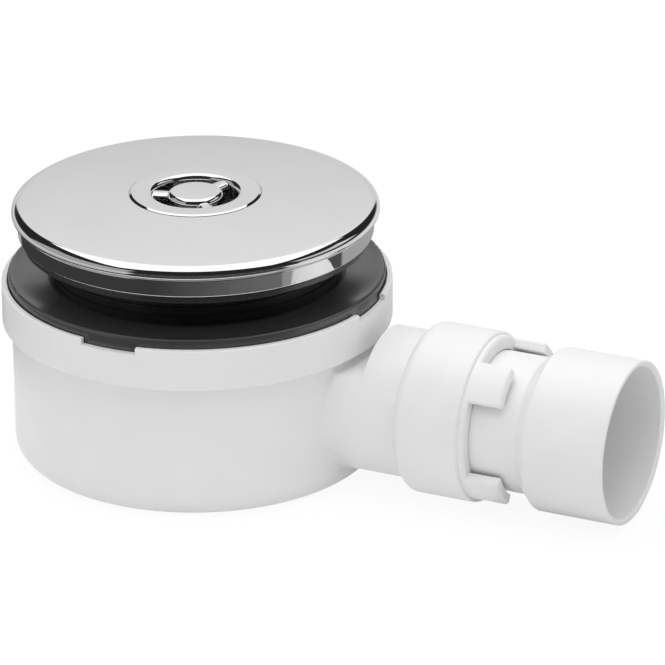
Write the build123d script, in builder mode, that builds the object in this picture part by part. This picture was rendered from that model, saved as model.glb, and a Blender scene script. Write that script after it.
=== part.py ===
from build123d import *
import os
from math import asin, atan2, pi, sqrt, tan

# Shower trap for a tray with a 90 mm waste hole.
# Millimetres. The origin is on the trap's axis at the underside of the cup, +Z is up and the outlet
# runs along +X.

# Clearances between pieces
thread_clearance = 0.25
lift_clearance = 0.3
rubber_clearance = 0.05
plug_clearance = 0.15
hole_clearance = 0.6
edge = 0.4

# Tray that the trap is clamped to
tray_hole_radius = 45.0
tray_thickness = 9.4

# Collar, tray seal and gasket
collar_wall = 3.0
collar_end_gap = 0.4
tray_seal_height = 5.6
tray_seal_inner_height = 4.4
tray_seal_dish = 1.1
tray_seal_land = 1.2
gasket_width = 8.6
gasket_thickness = 2.2

# Dip tube
dip_flange_gap = 2.8
dip_flange_overlap = 3.4
dip_flange_thickness = 2.0
dip_step = 3.2
dip_wall = 1.8
dip_gap = 10.4
ring_thickness = 2.4
lift_bar_width = 3.0
lift_bar_height = 5.0

# Cup
water_gap = 10.0
weir_wall = 2.2
weir_gap = 7.0
channel_width = 10.0
cup_wall = 2.6
cup_floor = 2.6
cup_corner = 6.0
cup_height = 49.0
root_rounding = 0.8

# Top ring and the seal under it
cup_seal_thickness = 1.8
skirt_wall = 2.65
skirt_depth = 7.6
deck_thickness = 2.6
lip_wall = 1.8
lip_height = 2.6
lip_rounding = 0.6
notch_count = 4
notch_width = 18.0
notch_depth = 2.0
neck_wall = 2.2
neck_depth = 13.4
ledge_thickness = 2.0
sleeve_depth = 3.0
sleeve_wall = 2.0

# Outlet tail, with the end of a 50 mm waste pipe
pipe_radius = 24.9
pipe_length = 25.45
tail_wall = 1.8
cone_step = 4.1
cone_length = 4.1
cone_rounding = 1.5
neck_length = 16.7
tail_gap = 0.5

# Outlet of the cup
root_length = 7.2
root_clearance = 3.3
root_blend = 1.5
stop_land = 1.2
spigot_wall = 3.0
spigot_length = 12.7
socket_length = 21.5
socket_shoulder_land = 0.2
socket_rounding = 0.8
ground_clearance = 0.15
stop_depth = 17.7
pilot_length = 4.0

# Gland in the outlet socket
seal_section = 2.8
gland_wall = 2.5
outlet_seal_length = 4.5
slip_washer_thickness = 1.2
lock_step = 0.95
lock_flange_thickness = 1.8
lug_length = 10.2
lug_standoff = 1.15
lug_count = 4
lug_angle = 32.0
lug_turn = 41.0
lug_rounding = 0.9
tip_rounding = 1.2

# Waste flange
flange_overhang = 1.1
flange_flare = 0.4
flange_plate = 1.6
flange_wall = 1.5
flange_height = 5.8
flange_sleeve_wall = 2.0
flange_sleeve_depth = 10.0

# Cover and its centre insert
inlet_gap = 0.4
cover_overhang = 1.5
cover_thickness = 1.8
cover_land = 0.05
cover_shoulder = 2.2
cover_lip = 1.1
dome_radius = 395.0
hub_wall = 2.0
hub_ledge = 1.5
foot_count = 6
foot_inset = 5.6
foot_length = 4.0
foot_width = 2.0
insert_radius = 20.05
insert_thickness = 2.2
insert_rounding = 0.3
well_radius = 13.3
well_wall = 1.6
well_depth = 6.0
well_rounding = 0.9
disc_radius = 8.6
disc_thickness = 3.0
bridge_count = 3
bridge_width = 5.0
bridge_turn = 75.6
bridge_drop = 0.9
bridge_thickness = 1.8
stud_radius = 4.6
stud_length = 14.0

# Strainer
strainer_rim = 3.0
strainer_rim_thickness = 1.5
strainer_wall = 1.6
strainer_depth = 16.0
strainer_corner = 1.6
post_wall = 1.8
floor_slot_count = 12
floor_slot_width = 5.0
floor_slot_land = 4.0
wall_slot_count = 12
wall_slot_width = 7.0
wall_slot_land = 3.5
wall_slot_cut = 6.0

# Radii about the trap's axis, from the tray's hole inwards and then outwards to the cup and its ring
collar_radius = tray_hole_radius - hole_clearance
collar_bore = collar_radius - collar_wall
dip_flange_radius = collar_bore - dip_flange_gap
dip_shoulder_radius = dip_flange_radius - dip_flange_overlap
dip_radius = dip_shoulder_radius - dip_step
ledge_bore = dip_shoulder_radius + lift_clearance
weir_radius = dip_radius + water_gap + weir_wall
cup_bore = weir_radius + channel_width
cup_radius = cup_bore + cup_wall
skirt_bore = cup_radius + thread_clearance
rim_radius = skirt_bore + skirt_wall
lip_bore = rim_radius - lip_wall
neck_bore = collar_radius + thread_clearance
gasket_radius = collar_radius + gasket_width
flange_radius = gasket_radius + flange_overhang
flange_sleeve_radius = collar_bore - plug_clearance
throat = flange_sleeve_radius - flange_sleeve_wall
cover_radius = flange_radius + flange_flare + cover_overhang
foot_radius = flange_radius - foot_inset
insert_bore = insert_radius + plug_clearance
strainer_radius = throat - lift_clearance
post_bore = stud_radius + plug_clearance
post_radius = post_bore + post_wall

# Radii about the outlet's axis, from the pipe end inwards and then outwards to the socket
tail_radius = pipe_radius - cone_step
tail_bore = tail_radius - tail_wall
pipe_bore = pipe_radius - tail_wall
spigot_bore = tail_radius - stop_land
spigot_radius = spigot_bore + spigot_wall
gland_bore = tail_radius + seal_section
gland_radius = gland_bore - thread_clearance
socket_radius = gland_bore + gland_wall
socket_shoulder = socket_radius - spigot_radius - socket_shoulder_land
lock_flange_radius = socket_radius - lock_step
lug_bore = tail_radius + lug_standoff

# Levels
outlet_height = socket_radius + ground_clearance
deck_bottom = cup_height + cup_seal_thickness
deck_top = deck_bottom + deck_thickness
rim_bottom = deck_bottom - skirt_depth
rim_top = deck_top + lip_height
neck_bottom = deck_top - neck_depth
ledge_top = neck_bottom + ledge_thickness
weir_top = neck_bottom - weir_gap
root_flat = rim_bottom - root_clearance
dip_bottom = cup_floor + dip_gap
dip_flange_top = ledge_top + dip_flange_thickness
tray_bottom = deck_top + tray_seal_height
gasket_bottom = tray_bottom + tray_thickness
flange_bottom = gasket_bottom + gasket_thickness
plate_top = flange_bottom + flange_plate
flange_top = flange_bottom + flange_height
cover_bottom = flange_top + inlet_gap
cover_tilt = asin(cover_radius / dome_radius)
cover_edge = cover_lip + cover_land + cover_shoulder * tan((pi / 2 - cover_tilt) / 2)
cover_sag = dome_radius - sqrt(dome_radius**2 - cover_radius**2)
crown = cover_bottom + cover_edge + cover_sag

# Places along the outlet
root_step = cup_radius + root_length
spigot_end = root_step + spigot_length
socket_end = spigot_end + socket_length
tail_stop = socket_end - stop_depth
seal_start = tail_stop + pilot_length
washer_start = seal_start + outlet_seal_length
lock_start = washer_start + slip_washer_thickness
lock_face = socket_end + lock_flange_thickness
lug_start = lock_face - tip_rounding
lug_end = lock_face + lug_length
cone_start = socket_end + neck_length
cone_end = cone_start + cone_length
outlet_end = cone_end + pipe_length
cone_inset = tail_wall * tan(atan2(cone_step, cone_length) / 2)

outlet_axis = Axis((0, 0, outlet_height), (1, 0, 0))
back_half = Plane((0, 0, 0), x_dir=(-1, 0, 0), z_dir=(0, 1, 0))


def section(*corners):
    """Adds a closed section to the active sketch, from corners of (across, up, rounding)."""
    with BuildLine() as outline:
        FilletPolyline(
            *[(across, up) for across, up, _ in corners],
            radius=[rounding for _, _, rounding in corners],
            close=True,
        )
    make_face(outline.edges())


def outlet_section(*corners):
    """Adds a closed section beside the outlet axis, from corners of (along, radius, rounding)."""
    section(*[(along, outlet_height + radius, rounding) for along, radius, rounding in corners])


def dome(radius, sunk=0.0):
    """Height of the cover's dome at a radius, on a surface sunk below the outer one."""
    return crown - dome_radius + sqrt((dome_radius - sunk) ** 2 - radius**2)


def is_root_edge(line):
    """Tells whether an edge is where the outlet leaves the cup's wall."""
    points = [line.position_at(place) for place in (0, 0.5, 1)]
    on_wall = all(abs(sqrt(p.X**2 + p.Y**2) - cup_radius) < edge / 10 for p in points)
    return on_wall and points[1].X > spigot_radius and cup_corner < points[1].Z < root_flat + edge


def is_lug_rim(line):
    """Tells whether an edge of a lug's side is on its outside, its tip or the rounding between them."""
    middle = line.position_at(0.5)
    reach = sqrt(middle.Y**2 + (middle.Z - outlet_height) ** 2)
    return middle.X > lug_start + edge and reach > lug_bore + edge


# Trap cup: the outer form, drawn away from the outlet, the spigot and socket, then the hollows
with BuildPart() as trap_cup:
    with BuildSketch(back_half):
        section(
            (0, 0, 0),
            (cup_radius, 0, cup_corner),
            (cup_radius, cup_height, edge),
            (0, cup_height, 0),
        )
    revolve(axis=Axis.Z)
    with BuildSketch(Plane.YZ):
        with Locations((0, outlet_height)):
            Circle(spigot_radius)
        with Locations((0, root_flat)):
            Rectangle(2 * socket_radius, socket_radius, align=(Align.CENTER, Align.MIN), mode=Mode.SUBTRACT)
    extrude(amount=root_step)
    with BuildSketch(Plane.XZ):
        outlet_section(
            (root_step, 0, 0),
            (root_step, spigot_radius, 0),
            (spigot_end, spigot_radius, 0),
            (spigot_end, socket_radius, socket_shoulder),
            (socket_end, socket_radius, socket_rounding),
            (socket_end, 0, 0),
        )
    revolve(axis=outlet_axis)
    fillet(trap_cup.edges().filter_by(is_root_edge), root_blend)
    with BuildSketch(Plane.XZ):
        section(
            (0, cup_floor, 0),
            (weir_radius - weir_wall, cup_floor, root_rounding),
            (weir_radius - weir_wall, weir_top, root_rounding),
            (weir_radius, weir_top, root_rounding),
            (weir_radius, cup_floor, root_rounding),
            (cup_bore, cup_floor, cup_corner - cup_wall),
            (cup_bore, cup_height, 0),
            (0, cup_height, 0),
        )
    revolve(axis=Axis.Z, mode=Mode.SUBTRACT)
    passage_start = weir_radius + edge
    with BuildSketch(Plane.YZ.offset(passage_start)):
        with Locations((0, outlet_height)):
            Circle(spigot_bore)
        with Locations((0, root_flat - cup_wall)):
            Rectangle(2 * socket_radius, socket_radius, align=(Align.CENTER, Align.MIN), mode=Mode.SUBTRACT)
    extrude(amount=root_step + cup_wall - passage_start, mode=Mode.SUBTRACT)
    with BuildSketch(Plane.XZ):
        outlet_section(
            (root_step + cup_wall, 0, 0),
            (root_step + cup_wall, spigot_bore, 0),
            (tail_stop, spigot_bore, 0),
            (tail_stop, tail_radius + plug_clearance, 0),
            (seal_start, tail_radius + plug_clearance, 0),
            (seal_start, gland_bore, 0),
            (socket_end, gland_bore, 0),
            (socket_end, 0, 0),
        )
    revolve(axis=outlet_axis, mode=Mode.SUBTRACT)
trap_cup.part.label = "trap_cup"

# Flat seal on the cup's edge
with BuildPart() as cup_seal:
    with BuildSketch(Plane.XY.offset(cup_height)):
        Circle(cup_radius)
        Circle(cup_bore, mode=Mode.SUBTRACT)
    extrude(amount=cup_seal_thickness)
cup_seal.part.label = "cup_seal"

# Top ring: skirt, deck and lip outside, screwed neck, ledge and sleeve inside
with BuildPart() as top_ring:
    with BuildSketch(Plane.XZ):
        section(
            (skirt_bore, rim_bottom, edge / 2),
            (rim_radius, rim_bottom, edge),
            (rim_radius, rim_top, lip_rounding),
            (lip_bore, rim_top, edge),
            (lip_bore, deck_top, 0),
            (neck_bore, deck_top, edge),
            (neck_bore, ledge_top, edge),
            (ledge_bore, ledge_top, edge),
            (ledge_bore, neck_bottom - sleeve_depth, edge),
            (ledge_bore + sleeve_wall, neck_bottom - sleeve_depth, edge),
            (ledge_bore + sleeve_wall, neck_bottom, edge),
            (neck_bore + neck_wall, neck_bottom, root_rounding),
            (neck_bore + neck_wall, deck_bottom, root_rounding),
            (skirt_bore, deck_bottom, 0),
        )
    revolve(axis=Axis.Z)
    with BuildSketch(Plane.XY.offset(rim_top - notch_depth)):
        with PolarLocations(0, notch_count):
            Rectangle(rim_radius + lip_wall, notch_width, align=(Align.MIN, Align.CENTER))
        Circle(lip_bore, mode=Mode.SUBTRACT)
    extrude(amount=notch_depth, mode=Mode.SUBTRACT)
top_ring.part.label = "top_ring"

# Dip tube: hangs by its flange on the ledge, with a groove for its ring and a bar to lift it by
groove_height = ring_thickness + lift_clearance
groove_bottom = neck_bottom - groove_height / 2
groove_top = neck_bottom + groove_height / 2
groove_floor = ledge_bore - ring_thickness - 2 * rubber_clearance
with BuildPart() as dip_tube:
    with BuildSketch(Plane.XZ):
        section(
            (dip_radius - dip_wall, dip_bottom, edge),
            (dip_radius, dip_bottom, edge),
            (dip_radius, neck_bottom - sleeve_depth, root_rounding),
            (dip_shoulder_radius, neck_bottom - sleeve_depth, edge),
            (dip_shoulder_radius, groove_bottom, 0),
            (groove_floor, groove_bottom, 0),
            (groove_floor, groove_top, 0),
            (dip_shoulder_radius, groove_top, 0),
            (dip_shoulder_radius, ledge_top, 0),
            (dip_flange_radius, ledge_top, edge),
            (dip_flange_radius, dip_flange_top, edge),
            (dip_radius - dip_wall, dip_flange_top, edge),
        )
    revolve(axis=Axis.Z)
    with BuildSketch(Plane.XY.offset(dip_flange_top - lift_bar_height)):
        Rectangle(2 * dip_radius - dip_wall, lift_bar_width)
    extrude(amount=lift_bar_height - edge)
dip_tube.part.label = "dip_tube"

# Rubber ring in the dip tube's groove
with BuildPart() as dip_tube_ring:
    with BuildSketch(Plane.XZ):
        with Locations(((ledge_bore + groove_floor) / 2, neck_bottom)):
            Circle(ring_thickness / 2)
    revolve(axis=Axis.Z)
dip_tube_ring.part.label = "dip_tube_ring"

# Tray seal: flat below, dished on top between a rounded outer edge and a narrow inner land
seal_radius = lip_bore - lift_clearance
seal_bore = collar_radius + rubber_clearance
with BuildPart() as tray_seal:
    with BuildSketch(Plane.XZ) as seal_section:
        with BuildLine():
            outer_top = (seal_radius, tray_bottom)
            inner_top = (seal_bore + tray_seal_land, deck_top + tray_seal_inner_height)
            dish = (
                (outer_top[0] + inner_top[0]) / 2,
                (outer_top[1] + inner_top[1]) / 2 - tray_seal_dish,
            )
            Polyline(
                inner_top,
                (seal_bore, inner_top[1]),
                (seal_bore, deck_top),
                (seal_radius, deck_top),
                outer_top,
            )
            ThreePointArc(outer_top, dish, inner_top)
        make_face()
        fillet(seal_section.vertices().sort_by(Axis.Y)[-1], root_rounding)
    revolve(axis=Axis.Z)
tray_seal.part.label = "tray_seal"

# Threaded collar through the tray
with BuildPart() as threaded_collar:
    with BuildSketch(Plane.XZ):
        section(
            (collar_bore, ledge_top + collar_end_gap, edge),
            (collar_radius, ledge_top + collar_end_gap, root_rounding),
            (collar_radius, flange_bottom, 0),
            (collar_bore, flange_bottom, 0),
        )
    revolve(axis=Axis.Z)
threaded_collar.part.label = "threaded_collar"

# Gasket between flange and tray
with BuildPart() as flange_gasket:
    with BuildSketch(Plane.XZ):
        section(
            (collar_radius + rubber_clearance, gasket_bottom, 0),
            (gasket_radius, gasket_bottom, edge),
            (gasket_radius, flange_bottom, edge),
            (collar_radius + rubber_clearance, flange_bottom, 0),
        )
    revolve(axis=Axis.Z)
flange_gasket.part.label = "flange_gasket"

# Waste flange: plate with a flared rim, and a sleeve that plugs into the collar
with BuildPart() as waste_flange:
    with BuildSketch(Plane.XZ):
        section(
            (throat, flange_bottom - flange_sleeve_depth, edge),
            (flange_sleeve_radius, flange_bottom - flange_sleeve_depth, edge),
            (flange_sleeve_radius, flange_bottom, 0),
            (flange_radius, flange_bottom, root_rounding),
            (flange_radius + flange_flare, flange_top, root_rounding / 2),
            (flange_radius + flange_flare - flange_wall, flange_top, root_rounding / 2),
            (flange_radius - flange_wall, plate_top, root_rounding),
            (throat, plate_top, edge),
        )
    revolve(axis=Axis.Z)
waste_flange.part.label = "waste_flange"

# Cover: domed shell with a rounded shoulder, a ledged hub for the insert, and feet that stand on the flange
insert_top = dome(insert_bore)
insert_seat = insert_top - insert_thickness
with BuildPart() as cover:
    with BuildSketch(Plane.XZ) as shell:
        with BuildLine():
            inside = cover_radius - cover_thickness
            middle = (cover_radius + insert_bore) / 2
            Polyline((insert_bore, dome(insert_bore, cover_thickness)), (insert_bore, dome(insert_bore)))
            ThreePointArc(
                (insert_bore, dome(insert_bore)),
                (middle, dome(middle)),
                (cover_radius, dome(cover_radius)),
            )
            Line((cover_radius, dome(cover_radius)), (cover_radius, cover_bottom + cover_lip))
            TangentArc(
                (cover_radius, cover_bottom + cover_lip),
                (cover_radius - cover_lip, cover_bottom),
                tangent=(0, -1),
            )
            Polyline(
                (cover_radius - cover_lip, cover_bottom),
                (inside, cover_bottom),
                (inside, dome(inside, cover_thickness)),
            )
            ThreePointArc(
                (inside, dome(inside, cover_thickness)),
                (middle, dome(middle, cover_thickness)),
                (insert_bore, dome(insert_bore, cover_thickness)),
            )
        make_face()
        outer_corner = shell.vertices().group_by(Axis.X)[-1].sort_by(Axis.Y)[-1]
        fillet(outer_corner, cover_shoulder)
    revolve(axis=Axis.Z)
    with BuildSketch(Plane.XZ):
        section(
            (insert_bore - hub_wall, insert_seat - hub_ledge, edge),
            (insert_bore + hub_wall, insert_seat - hub_ledge, edge),
            (insert_bore + hub_wall, insert_top - cover_thickness / 2, 0),
            (insert_bore, insert_top - cover_thickness / 2, 0),
            (insert_bore, insert_seat, 0),
            (insert_bore - hub_wall, insert_seat, edge),
        )
    revolve(axis=Axis.Z)
    with BuildSketch(Plane.XY.offset(plate_top)):
        with PolarLocations(foot_radius, foot_count):
            Rectangle(foot_length, foot_width)
    extrude(amount=dome(foot_radius, cover_thickness / 2) - plate_top)
cover.part.label = "cover"

# Cover insert: ring and well, a centre disc on three bridges, and the stud under it
with BuildPart() as cover_insert:
    with BuildSketch(Plane.XZ):
        section(
            (well_radius, insert_top - well_depth, edge),
            (well_radius + well_wall, insert_top - well_depth, edge),
            (well_radius + well_wall, insert_seat, 0),
            (insert_radius, insert_seat, 0),
            (insert_radius, insert_top, insert_rounding),
            (well_radius, insert_top, well_rounding),
        )
    revolve(axis=Axis.Z)
    with BuildSketch(Plane.XY.offset(insert_top - bridge_drop)):
        with PolarLocations(0, bridge_count, start_angle=bridge_turn):
            Rectangle(well_radius + well_wall / 2, bridge_width, align=(Align.MIN, Align.CENTER))
    extrude(amount=-bridge_thickness)
    with BuildSketch(Plane.XZ):
        section(
            (0, insert_top - disc_thickness - stud_length, 0),
            (stud_radius, insert_top - disc_thickness - stud_length, edge),
            (stud_radius, insert_top - disc_thickness, 0),
            (disc_radius, insert_top - disc_thickness, edge),
            (disc_radius, insert_top, well_rounding),
            (0, insert_top, 0),
        )
    revolve(axis=Axis.Z)
cover_insert.part.label = "cover_insert"

# Strainer: basket hung from the flange, slotted in wall and floor, with the post for the stud
basket_bottom = plate_top - strainer_depth
post_top = insert_top - disc_thickness - lift_clearance
with BuildPart() as strainer:
    with BuildSketch(Plane.XZ):
        section(
            (post_bore, basket_bottom, 0),
            (strainer_radius, basket_bottom, strainer_corner),
            (strainer_radius, plate_top, 0),
            (strainer_radius + strainer_rim, plate_top, edge),
            (strainer_radius + strainer_rim, plate_top + strainer_rim_thickness, edge),
            (strainer_radius - strainer_wall, plate_top + strainer_rim_thickness, edge),
            (strainer_radius - strainer_wall, basket_bottom + strainer_wall, root_rounding),
            (post_radius, basket_bottom + strainer_wall, root_rounding),
            (post_radius, post_top, edge),
            (post_bore, post_top, edge),
        )
    revolve(axis=Axis.Z)
    slot_start = post_radius + floor_slot_land
    slot_end = strainer_radius - strainer_wall - floor_slot_land
    with BuildSketch(Plane.XY.offset(basket_bottom)):
        with PolarLocations((slot_start + slot_end) / 2, floor_slot_count):
            SlotOverall(slot_end - slot_start, floor_slot_width)
    extrude(amount=strainer_wall, mode=Mode.SUBTRACT)
    with BuildSketch(Plane.XY.offset(basket_bottom + wall_slot_land)):
        with PolarLocations(strainer_radius, wall_slot_count, start_angle=180 / wall_slot_count):
            Rectangle(wall_slot_cut, wall_slot_width)
    extrude(amount=strainer_depth - 2 * wall_slot_land, mode=Mode.SUBTRACT)
strainer.part.label = "strainer"

# Seal round the tail, and the washer that keeps the lock ring from dragging it
with BuildPart() as outlet_seal:
    with BuildSketch(Plane.XZ):
        outlet_section(
            (seal_start, tail_radius + rubber_clearance, edge),
            (seal_start, gland_bore - rubber_clearance, edge),
            (washer_start, gland_bore - rubber_clearance, edge),
            (washer_start, tail_radius + rubber_clearance, edge),
        )
    revolve(axis=outlet_axis)
outlet_seal.part.label = "outlet_seal"

with BuildPart() as slip_washer:
    with BuildSketch(Plane.YZ.offset(washer_start)):
        with Locations((0, outlet_height)):
            Circle(gland_radius)
            Circle(tail_radius + plug_clearance, mode=Mode.SUBTRACT)
    extrude(amount=slip_washer_thickness)
slip_washer.part.label = "slip_washer"

# Lug of the lock ring, turned from a section with a rounded tip, with rounded sides
with BuildPart() as lug:
    with BuildSketch(Plane.XZ):
        outlet_section(
            (lug_start, lug_bore, 0),
            (lug_start, lock_flange_radius, 0),
            (lug_end, lock_flange_radius, tip_rounding),
            (lug_end, lug_bore, edge),
        )
    revolve(axis=outlet_axis, revolution_arc=lug_angle)
    sides = lug.faces().filter_by(GeomType.PLANE).filter_by(lambda face: abs(face.normal_at().X) < 0.5)
    fillet(sides.edges().filter_by(is_lug_rim), lug_rounding)

# Lock ring: grip lugs, screwed barrel and flange
with BuildPart() as lock_ring:
    for place in range(lug_count):
        add(lug.part.rotate(outlet_axis, lug_turn - lug_angle / 2 + place * 360 / lug_count))
    with BuildSketch(Plane.XZ):
        outlet_section(
            (lock_start, tail_radius + lift_clearance, 0),
            (lock_start, gland_radius, edge),
            (socket_end, gland_radius, 0),
            (socket_end, lock_flange_radius, 0),
            (lock_face, lock_flange_radius, tip_rounding),
            (lock_face, tail_radius + lift_clearance, 0),
        )
    revolve(axis=outlet_axis)
lock_ring.part.label = "lock_ring"

# Outlet tail: neck in the socket, cone, and the pipe end that the waste pipework is fitted to
with BuildPart() as outlet_tail:
    with BuildSketch(Plane.XZ):
        outlet_section(
            (tail_stop + tail_gap, tail_bore, edge),
            (tail_stop + tail_gap, tail_radius, root_rounding),
            (cone_start, tail_radius, cone_rounding),
            (cone_end, pipe_radius, edge),
            (outlet_end, pipe_radius, edge),
            (outlet_end, pipe_bore, edge),
            (cone_end + cone_inset, pipe_bore, cone_rounding),
            (cone_start + cone_inset, tail_bore, edge),
        )
    revolve(axis=outlet_axis)
outlet_tail.part.label = "outlet_tail"

pieces = (
    cover,
    cover_insert,
    strainer,
    waste_flange,
    flange_gasket,
    threaded_collar,
    tray_seal,
    top_ring,
    cup_seal,
    trap_cup,
    dip_tube,
    dip_tube_ring,
    outlet_seal,
    slip_washer,
    lock_ring,
    outlet_tail,
)
os.makedirs("parts", exist_ok=True)
for piece in pieces:
    export_step(piece.part, f"parts/{piece.part.label}.step")
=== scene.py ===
"""Shower trap: finishes, added detail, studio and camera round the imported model.

Sizes of the classes are in millimetres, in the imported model's frame: the origin is under the cup on the
trap's axis, +Z is up and the outlet runs along +X. Meshes are made in metres.
"""

import logging
import math
from dataclasses import dataclass
from enum import Enum

import bpy
from mathutils import Matrix, Vector

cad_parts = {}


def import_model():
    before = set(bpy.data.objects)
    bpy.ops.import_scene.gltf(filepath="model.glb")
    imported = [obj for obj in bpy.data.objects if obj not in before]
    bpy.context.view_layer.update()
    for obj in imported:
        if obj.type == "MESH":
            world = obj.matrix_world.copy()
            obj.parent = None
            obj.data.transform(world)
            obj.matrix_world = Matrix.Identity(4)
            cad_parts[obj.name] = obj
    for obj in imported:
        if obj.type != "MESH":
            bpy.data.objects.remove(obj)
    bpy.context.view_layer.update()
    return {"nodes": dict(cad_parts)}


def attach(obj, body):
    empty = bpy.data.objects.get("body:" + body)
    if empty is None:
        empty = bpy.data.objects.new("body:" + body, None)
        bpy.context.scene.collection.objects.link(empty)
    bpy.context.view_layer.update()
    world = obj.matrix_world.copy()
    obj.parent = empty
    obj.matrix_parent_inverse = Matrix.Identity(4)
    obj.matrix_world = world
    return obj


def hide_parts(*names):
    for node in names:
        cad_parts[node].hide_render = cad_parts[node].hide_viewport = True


Pair = tuple[float, float]
Colour = tuple[float, float, float]
Piece = bpy.types.Object
Nodes = dict[str, Piece]
Socket = bpy.types.NodeSocket

MM: float = 0.001
ORIGIN: tuple[float, float, float] = (0.0, 0.0, 0.0)
UP: Vector = Vector((0.0, 0.0, 1.0))
FULL_TURN: float = 360.0
HALF_TURN: float = FULL_TURN / 2.0
TO_DEGREES: float = math.degrees(1.0)
# Tilts of a section's surface from facing up, in degrees.
OUTWARD: float = 90.0
DOWNWARD: float = 180.0
# A rounded corner has one part for so many degrees, and never fewer parts than the least.
CORNER_STEP: float = 6.0
CORNER_LEAST: int = 3
# Faces that meet at a smaller angle are shaded as one surface.
SMOOTH_BELOW: float = math.radians(28.0)
# Points nearer to each other than this are merged.
WELD: float = 0.002 * MM
# Most values of a noise pattern lie in this range.
NOISE_RANGE: Pair = (0.3, 0.7)
BLOT_DETAIL: float = 4.0
GLOSS_DETAIL: float = 3.0
BODY: str = "root"

log = logging.getLogger("shower_trap")


class Slot(Enum):
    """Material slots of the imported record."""

    WHITE = "white_plastic"
    CHROME = "chrome_plating"
    BLACK = "black_plastic"


class NodeBoard:
    """A small board for laying out one material's or world's shader nodes."""

    def __init__(self, tree: bpy.types.NodeTree) -> None:
        """Clears the tree.

        Args:
            tree: The node tree to lay out.
        """
        self.tree = tree
        tree.nodes.clear()

    def add(self, kind: str, **settings: object) -> bpy.types.Node:
        """Adds a node.

        Args:
            kind: Identifier of the node type.
            settings: Node properties by name.

        Returns:
            The new node.
        """
        node = self.tree.nodes.new(kind)
        for name, value in settings.items():
            setattr(node, name, value)
        return node

    def link(self, source: Socket, target: Socket) -> None:
        """Joins two sockets."""
        self.tree.links.new(source, target)

    def put(self, value: Socket | float, target: Socket) -> None:
        """Gives a socket a constant, or joins another socket to it.

        Args:
            value: The constant, or the socket that gives it.
            target: The socket that takes it.
        """
        if isinstance(value, Socket):
            self.link(value, target)
        else:
            target.default_value = value

    def end(self, shader: Socket, kind: str = "ShaderNodeOutputMaterial") -> None:
        """Joins the finished shader to the output.

        Args:
            shader: The shader's socket.
            kind: Identifier of the output's type.
        """
        self.link(shader, self.add(kind).inputs["Surface"])

    def noise(self, place: Socket, size_mm: float, detail: float = 2.0) -> Socket:
        """Adds a noise pattern in Object coordinates.

        Args:
            place: The coordinates' socket.
            size_mm: About the size of one blot, in millimetres.
            detail: How many finer layers it has.

        Returns:
            The pattern's value socket, from 0 to 1.
        """
        node = self.add("ShaderNodeTexNoise")
        node.inputs["Scale"].default_value = 1.0 / (size_mm * MM)
        node.inputs["Detail"].default_value = detail
        self.link(place, node.inputs["Vector"])
        return node.outputs["Fac"]

    def math(self, operation: str, first: Socket, second: Socket | float = 0.0, third: float = 0.0) -> Socket:
        """Works out a value from others.

        Args:
            operation: Identifier of the operation.
            first: The first value's socket.
            second: The second value, or its socket.
            third: The third value, where the operation takes one.

        Returns:
            The result's socket.
        """
        node = self.add("ShaderNodeMath", operation=operation)
        for value, target in zip((first, second, third), node.inputs):
            self.put(value, target)
        return node.outputs["Value"]

    def unit(self, way: Socket) -> Socket:
        """Gives a direction or place the length 1.

        Args:
            way: The direction's or place's socket.

        Returns:
            The unit direction's socket.
        """
        node = self.add("ShaderNodeVectorMath", operation="NORMALIZE")
        self.link(way, node.inputs[0])
        return node.outputs["Vector"]

    def along(self, way: Socket, direction: Vector) -> Socket:
        """Gives how far a direction or place goes along another direction.

        Args:
            way: The direction's or place's socket.
            direction: The other direction.

        Returns:
            The value's socket.
        """
        node = self.add("ShaderNodeVectorMath", operation="DOT_PRODUCT")
        node.inputs[1].default_value = direction
        self.link(way, node.inputs[0])
        return node.outputs["Value"]

    def ramp(self, value: Socket, given: Pair, wanted: Pair) -> Socket:
        """Maps one range to another, and holds the ends.

        Args:
            value: The value's socket.
            given: The range it comes from.
            wanted: The range it goes to.

        Returns:
            The mapped value's socket.
        """
        node = self.add("ShaderNodeMapRange")
        node.inputs["From Min"].default_value, node.inputs["From Max"].default_value = given
        node.inputs["To Min"].default_value, node.inputs["To Max"].default_value = wanted
        self.link(value, node.inputs["Value"])
        return node.outputs["Result"]

    def tint(self, value: Socket, dark: Colour, light: Colour) -> Socket:
        """Mixes two colours by a noise value.

        Args:
            value: The noise's socket, mostly inside NOISE_RANGE.
            dark: Colour at the range's lower end.
            light: Colour at the range's upper end.

        Returns:
            The colour's socket.
        """
        node = self.add("ShaderNodeMix", data_type="RGBA")
        node.inputs["A"].default_value = (*dark, 1.0)
        node.inputs["B"].default_value = (*light, 1.0)
        self.link(self.ramp(value, NOISE_RANGE, (0.0, 1.0)), node.inputs["Factor"])
        return node.outputs["Result"]

    def glow(self, level: Socket | float, kind: str = "ShaderNodeEmission") -> Socket:
        """Adds a plain light.

        Args:
            level: Its brightness, or the brightness's socket.
            kind: Identifier of the node type.

        Returns:
            The shader's socket.
        """
        node = self.add(kind)
        self.put(level, node.inputs["Strength"])
        return node.outputs[0]

    def mix(self, share: Socket, first: Socket, second: Socket) -> Socket:
        """Mixes two shaders.

        Args:
            share: The second shader's share, from 0 to 1.
            first: The first shader's socket.
            second: The second shader's socket.

        Returns:
            The mixed shader's socket.
        """
        node = self.add("ShaderNodeMixShader")
        for source, target in zip((share, first, second), node.inputs):
            self.link(source, target)
        return node.outputs["Shader"]


def new_material(name: str) -> tuple[bpy.types.Material, NodeBoard]:
    """Starts a node material.

    Args:
        name: Name of the material.

    Returns:
        The material and the board of its nodes.
    """
    material = bpy.data.materials.new(name)
    material.use_nodes = True
    return material, NodeBoard(material.node_tree)


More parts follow.
